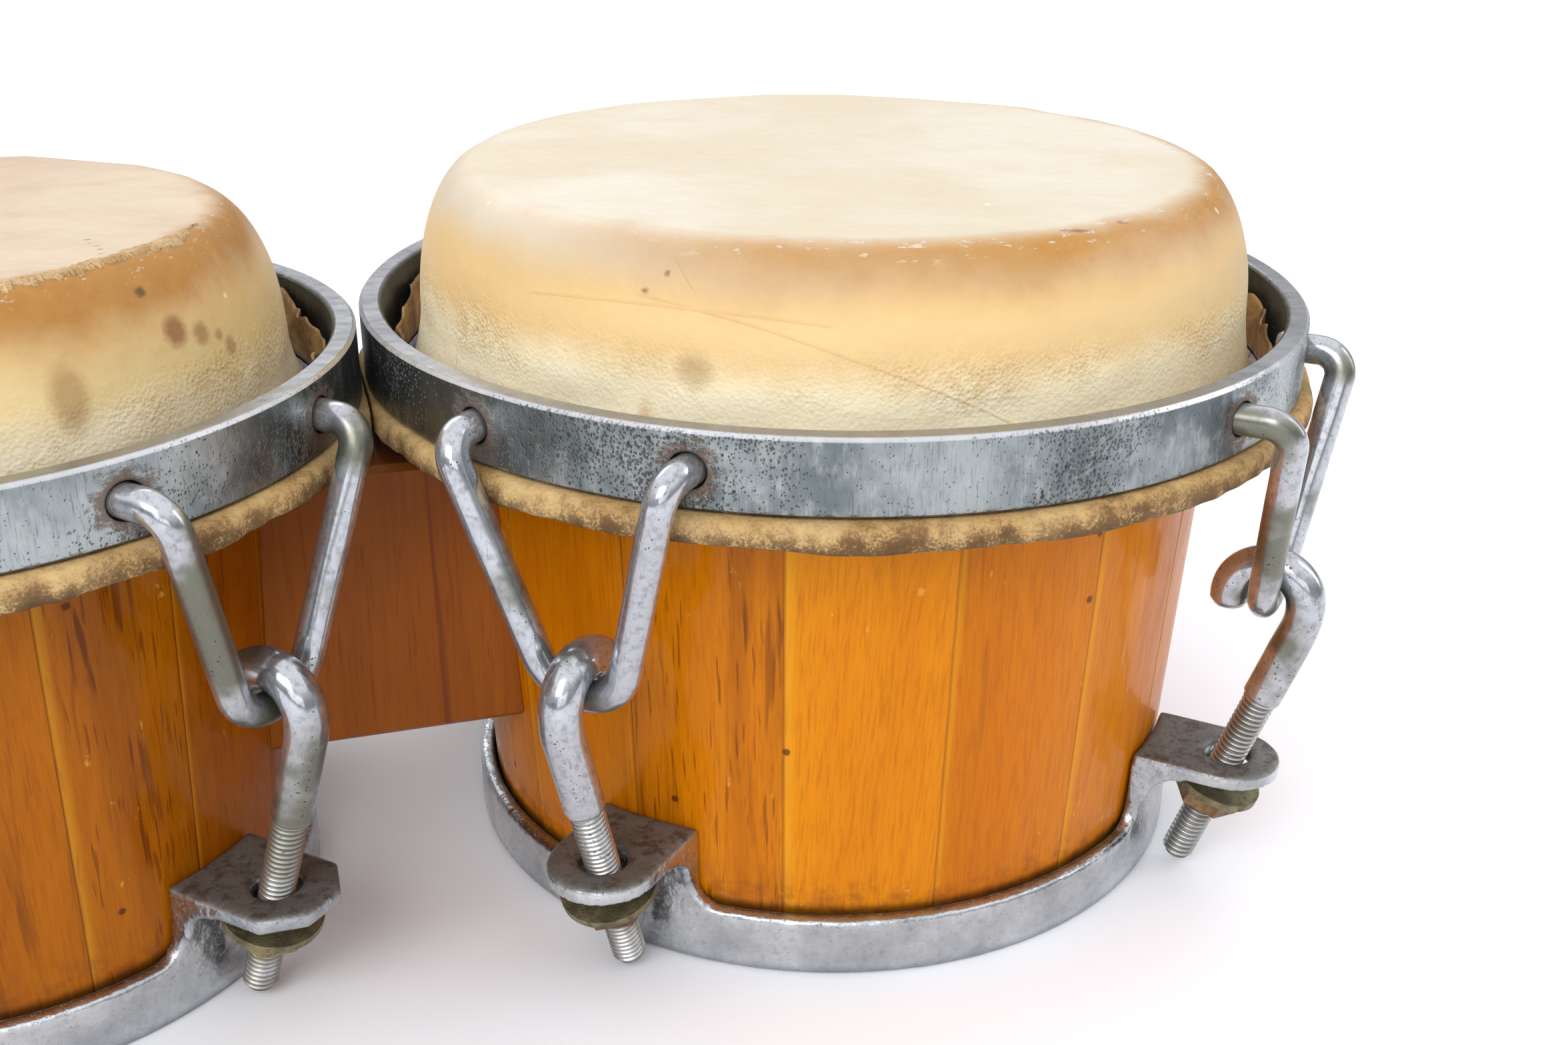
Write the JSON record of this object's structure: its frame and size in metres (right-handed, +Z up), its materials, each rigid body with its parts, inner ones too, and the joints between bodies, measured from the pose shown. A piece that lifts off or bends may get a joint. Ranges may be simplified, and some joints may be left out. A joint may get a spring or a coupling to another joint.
{
  "type": "bongo drums",
  "caption": "Pair of hand drums with rawhide heads on tapered stave shells, joined by a wooden block and tuned by hook bolts and nuts under the lugs of their base rings.",
  "frame": {"origin": "on the floor under the middle of the pair's overall box", "axes": "+X from the small drum to the large drum, +Z up out of the heads, -Y the front"},
  "size_m": [0.4268, 0.2364, 0.1712],
  "materials": {
    "amber_shell": "glossy amber lacquer over pine staves",
    "block_wood": "satin red-brown stain",
    "plated_rim": "worn plate with pits",
    "plated_base": "worn satin plate over a casting",
    "bright_rod": "bright plate with stains",
    "rusty_nut": "rust and old yellow zinc",
    "zinc_washer": "old yellow zinc",
    "inner_steel": "plain steel",
    "rawhide": "worn calf rawhide"
  },
  "bodies": {
    "base": {"right_shell": "amber_shell", "left_shell": "amber_shell", "centre_block": "block_wood", "right_base_ring": "plated_base", "left_base_ring": "plated_base", "block_bolts": "inner_steel", "block_washers": "inner_steel", "block_nuts": "inner_steel", "right_lug_washers": "zinc_washer", "left_lug_washers": "zinc_washer"},
    "right_head": {"right_rim": "plated_rim", "right_flesh_hoop": "inner_steel", "right_skin": "rawhide"},
    "left_head": {"left_rim": "plated_rim", "left_flesh_hoop": "inner_steel", "left_skin": "rawhide"},
    "right_hook_1": {"right_hook_1": "bright_rod"},
    "right_bail_1": {"right_bail_1": "bright_rod"},
    "right_nut_1": {"right_nut_1": "rusty_nut"},
    "right_hook_2": {"right_hook_2": "bright_rod"},
    "right_bail_2": {"right_bail_2": "bright_rod"},
    "right_nut_2": {"right_nut_2": "rusty_nut"},
    "right_hook_3": {"right_hook_3": "bright_rod"},
    "right_bail_3": {"right_bail_3": "bright_rod"},
    "right_nut_3": {"right_nut_3": "rusty_nut"},
    "right_hook_4": {"right_hook_4": "bright_rod"},
    "right_bail_4": {"right_bail_4": "bright_rod"},
    "right_nut_4": {"right_nut_4": "rusty_nut"},
    "left_hook_1": {"left_hook_1": "bright_rod"},
    "left_bail_1": {"left_bail_1": "bright_rod"},
    "left_nut_1": {"left_nut_1": "rusty_nut"},
    "left_hook_2": {"left_hook_2": "bright_rod"},
    "left_bail_2": {"left_bail_2": "bright_rod"},
    "left_nut_2": {"left_nut_2": "rusty_nut"},
    "left_hook_3": {"left_hook_3": "bright_rod"},
    "left_bail_3": {"left_bail_3": "bright_rod"},
    "left_nut_3": {"left_nut_3": "rusty_nut"},
    "left_hook_4": {"left_hook_4": "bright_rod"},
    "left_bail_4": {"left_bail_4": "bright_rod"},
    "left_nut_4": {"left_nut_4": "rusty_nut"}
  },
  "joints": [
    {"name": "right_head_slide", "type": "slide", "parent": "base", "child": "right_head", "axis": [0, 0, 1], "range_m": [0, 0.0055]},
    {"name": "right_hook_1_slide", "type": "slide", "parent": "base", "child": "right_hook_1", "axis": [0.2185, -0.2185, 0.9511], "range_m": [0, 0.00579]},
    {"name": "right_bail_1_swing", "type": "hinge", "parent": "right_head", "child": "right_bail_1", "pos_m": [0.17249, -0.07724, 0.13195], "axis": [-0.7071, -0.7071, 0], "range_deg": [0, 1.93]},
    {"name": "right_nut_1_turn", "type": "hinge", "parent": "base", "child": "right_nut_1", "pos_m": [0.17247, -0.07722, 0.02747], "axis": [-0.2185, 0.2185, -0.9511], "range_deg": [0, 1480]},
    {"name": "right_hook_2_slide", "type": "slide", "parent": "base", "child": "right_hook_2", "axis": [0.2185, 0.2185, 0.9511], "range_m": [0, 0.00579]},
    {"name": "right_bail_2_swing", "type": "hinge", "parent": "right_head", "child": "right_bail_2", "pos_m": [0.17249, 0.07724, 0.13195], "axis": [0.7071, -0.7071, 0], "range_deg": [0, 1.93]},
    {"name": "right_nut_2_turn", "type": "hinge", "parent": "base", "child": "right_nut_2", "pos_m": [0.17247, 0.07722, 0.02747], "axis": [-0.2185, -0.2185, -0.9511], "range_deg": [0, 1480]},
    {"name": "right_hook_3_slide", "type": "slide", "parent": "base", "child": "right_hook_3", "axis": [-0.2185, 0.2185, 0.9511], "range_m": [0, 0.00579]},
    {"name": "right_bail_3_swing", "type": "hinge", "parent": "right_head", "child": "right_bail_3", "pos_m": [0.01801, 0.07724, 0.13195], "axis": [0.7071, 0.7071, 0], "range_deg": [0, 1.93]},
    {"name": "right_nut_3_turn", "type": "hinge", "parent": "base", "child": "right_nut_3", "pos_m": [0.01803, 0.07722, 0.02747], "axis": [0.2185, -0.2185, -0.9511], "range_deg": [0, 1480]},
    {"name": "right_hook_4_slide", "type": "slide", "parent": "base", "child": "right_hook_4", "axis": [-0.2185, -0.2185, 0.9511], "range_m": [0, 0.00579]},
    {"name": "right_bail_4_swing", "type": "hinge", "parent": "right_head", "child": "right_bail_4", "pos_m": [0.01801, -0.07724, 0.13195], "axis": [-0.7071, 0.7071, 0], "range_deg": [0, 1.93]},
    {"name": "right_nut_4_turn", "type": "hinge", "parent": "base", "child": "right_nut_4", "pos_m": [0.01803, -0.07722, 0.02747], "axis": [0.2185, 0.2185, -0.9511], "range_deg": [0, 1480]},
    {"name": "left_head_slide", "type": "slide", "parent": "base", "child": "left_head", "axis": [0, 0, 1], "range_m": [0, 0.0055]},
    {"name": "left_hook_1_slide", "type": "slide", "parent": "base", "child": "left_hook_1", "axis": [0.2185, -0.2185, 0.9511], "range_m": [0, 0.00579]},
    {"name": "left_bail_1_swing", "type": "hinge", "parent": "left_head", "child": "left_bail_1", "pos_m": [-0.05335, -0.0623, 0.13195], "axis": [-0.7071, -0.7071, 0], "range_deg": [0, 1.93]},
    {"name": "left_nut_1_turn", "type": "hinge", "parent": "base", "child": "left_nut_1", "pos_m": [-0.05356, -0.06209, 0.02507], "axis": [-0.2185, 0.2185, -0.9511], "range_deg": [0, 1480]},
    {"name": "left_hook_2_slide", "type": "slide", "parent": "base", "child": "left_hook_2", "axis": [0.2185, 0.2185, 0.9511], "range_m": [0, 0.00579]},
    {"name": "left_bail_2_swing", "type": "hinge", "parent": "left_head", "child": "left_bail_2", "pos_m": [-0.05335, 0.0623, 0.13195], "axis": [0.7071, -0.7071, 0], "range_deg": [0, 1.93]},
    {"name": "left_nut_2_turn", "type": "hinge", "parent": "base", "child": "left_nut_2", "pos_m": [-0.05356, 0.06209, 0.02507], "axis": [-0.2185, -0.2185, -0.9511], "range_deg": [0, 1480]},
    {"name": "left_hook_3_slide", "type": "slide", "parent": "base", "child": "left_hook_3", "axis": [-0.2185, 0.2185, 0.9511], "range_m": [0, 0.00579]},
    {"name": "left_bail_3_swing", "type": "hinge", "parent": "left_head", "child": "left_bail_3", "pos_m": [-0.17795, 0.0623, 0.13195], "axis": [0.7071, 0.7071, 0], "range_deg": [0, 1.93]},
    {"name": "left_nut_3_turn", "type": "hinge", "parent": "base", "child": "left_nut_3", "pos_m": [-0.17774, 0.06209, 0.02507], "axis": [0.2185, -0.2185, -0.9511], "range_deg": [0, 1480]},
    {"name": "left_hook_4_slide", "type": "slide", "parent": "base", "child": "left_hook_4", "axis": [-0.2185, -0.2185, 0.9511], "range_m": [0, 0.00579]},
    {"name": "left_bail_4_swing", "type": "hinge", "parent": "left_head", "child": "left_bail_4", "pos_m": [-0.17795, -0.0623, 0.13195], "axis": [-0.7071, 0.7071, 0], "range_deg": [0, 1.93]},
    {"name": "left_nut_4_turn", "type": "hinge", "parent": "base", "child": "left_nut_4", "pos_m": [-0.17774, -0.06209, 0.02507], "axis": [0.2185, 0.2185, -0.9511], "range_deg": [0, 1480]}
  ],
  "couplings": [
    {"joint": "right_hook_1_slide", "follows": "right_head_slide", "ratio": 1.0515},
    {"joint": "right_bail_1_swing", "follows": "right_head_slide", "rad_per_m": 6.0563},
    {"joint": "right_nut_1_turn", "follows": "right_head_slide", "rad_per_m": 4682.2},
    {"joint": "right_hook_2_slide", "follows": "right_head_slide", "ratio": 1.0515},
    {"joint": "right_bail_2_swing", "follows": "right_head_slide", "rad_per_m": 6.0563},
    {"joint": "right_nut_2_turn", "follows": "right_head_slide", "rad_per_m": 4682.2},
    {"joint": "right_hook_3_slide", "follows": "right_head_slide", "ratio": 1.0515},
    {"joint": "right_bail_3_swing", "follows": "right_head_slide", "rad_per_m": 6.0563},
    {"joint": "right_nut_3_turn", "follows": "right_head_slide", "rad_per_m": 4682.2},
    {"joint": "right_hook_4_slide", "follows": "right_head_slide", "ratio": 1.0515},
    {"joint": "right_bail_4_swing", "follows": "right_head_slide", "rad_per_m": 6.0563},
    {"joint": "right_nut_4_turn", "follows": "right_head_slide", "rad_per_m": 4682.2},
    {"joint": "left_hook_1_slide", "follows": "left_head_slide", "ratio": 1.0515},
    {"joint": "left_bail_1_swing", "follows": "left_head_slide", "rad_per_m": 6.0563},
    {"joint": "left_nut_1_turn", "follows": "left_head_slide", "rad_per_m": 4682.2},
    {"joint": "left_hook_2_slide", "follows": "left_head_slide", "ratio": 1.0515},
    {"joint": "left_bail_2_swing", "follows": "left_head_slide", "rad_per_m": 6.0563},
    {"joint": "left_nut_2_turn", "follows": "left_head_slide", "rad_per_m": 4682.2},
    {"joint": "left_hook_3_slide", "follows": "left_head_slide", "ratio": 1.0515},
    {"joint": "left_bail_3_swing", "follows": "left_head_slide", "rad_per_m": 6.0563},
    {"joint": "left_nut_3_turn", "follows": "left_head_slide", "rad_per_m": 4682.2},
    {"joint": "left_hook_4_slide", "follows": "left_head_slide", "ratio": 1.0515},
    {"joint": "left_bail_4_swing", "follows": "left_head_slide", "rad_per_m": 6.0563},
    {"joint": "left_nut_4_turn", "follows": "left_head_slide", "rad_per_m": 4682.2}
  ]
}
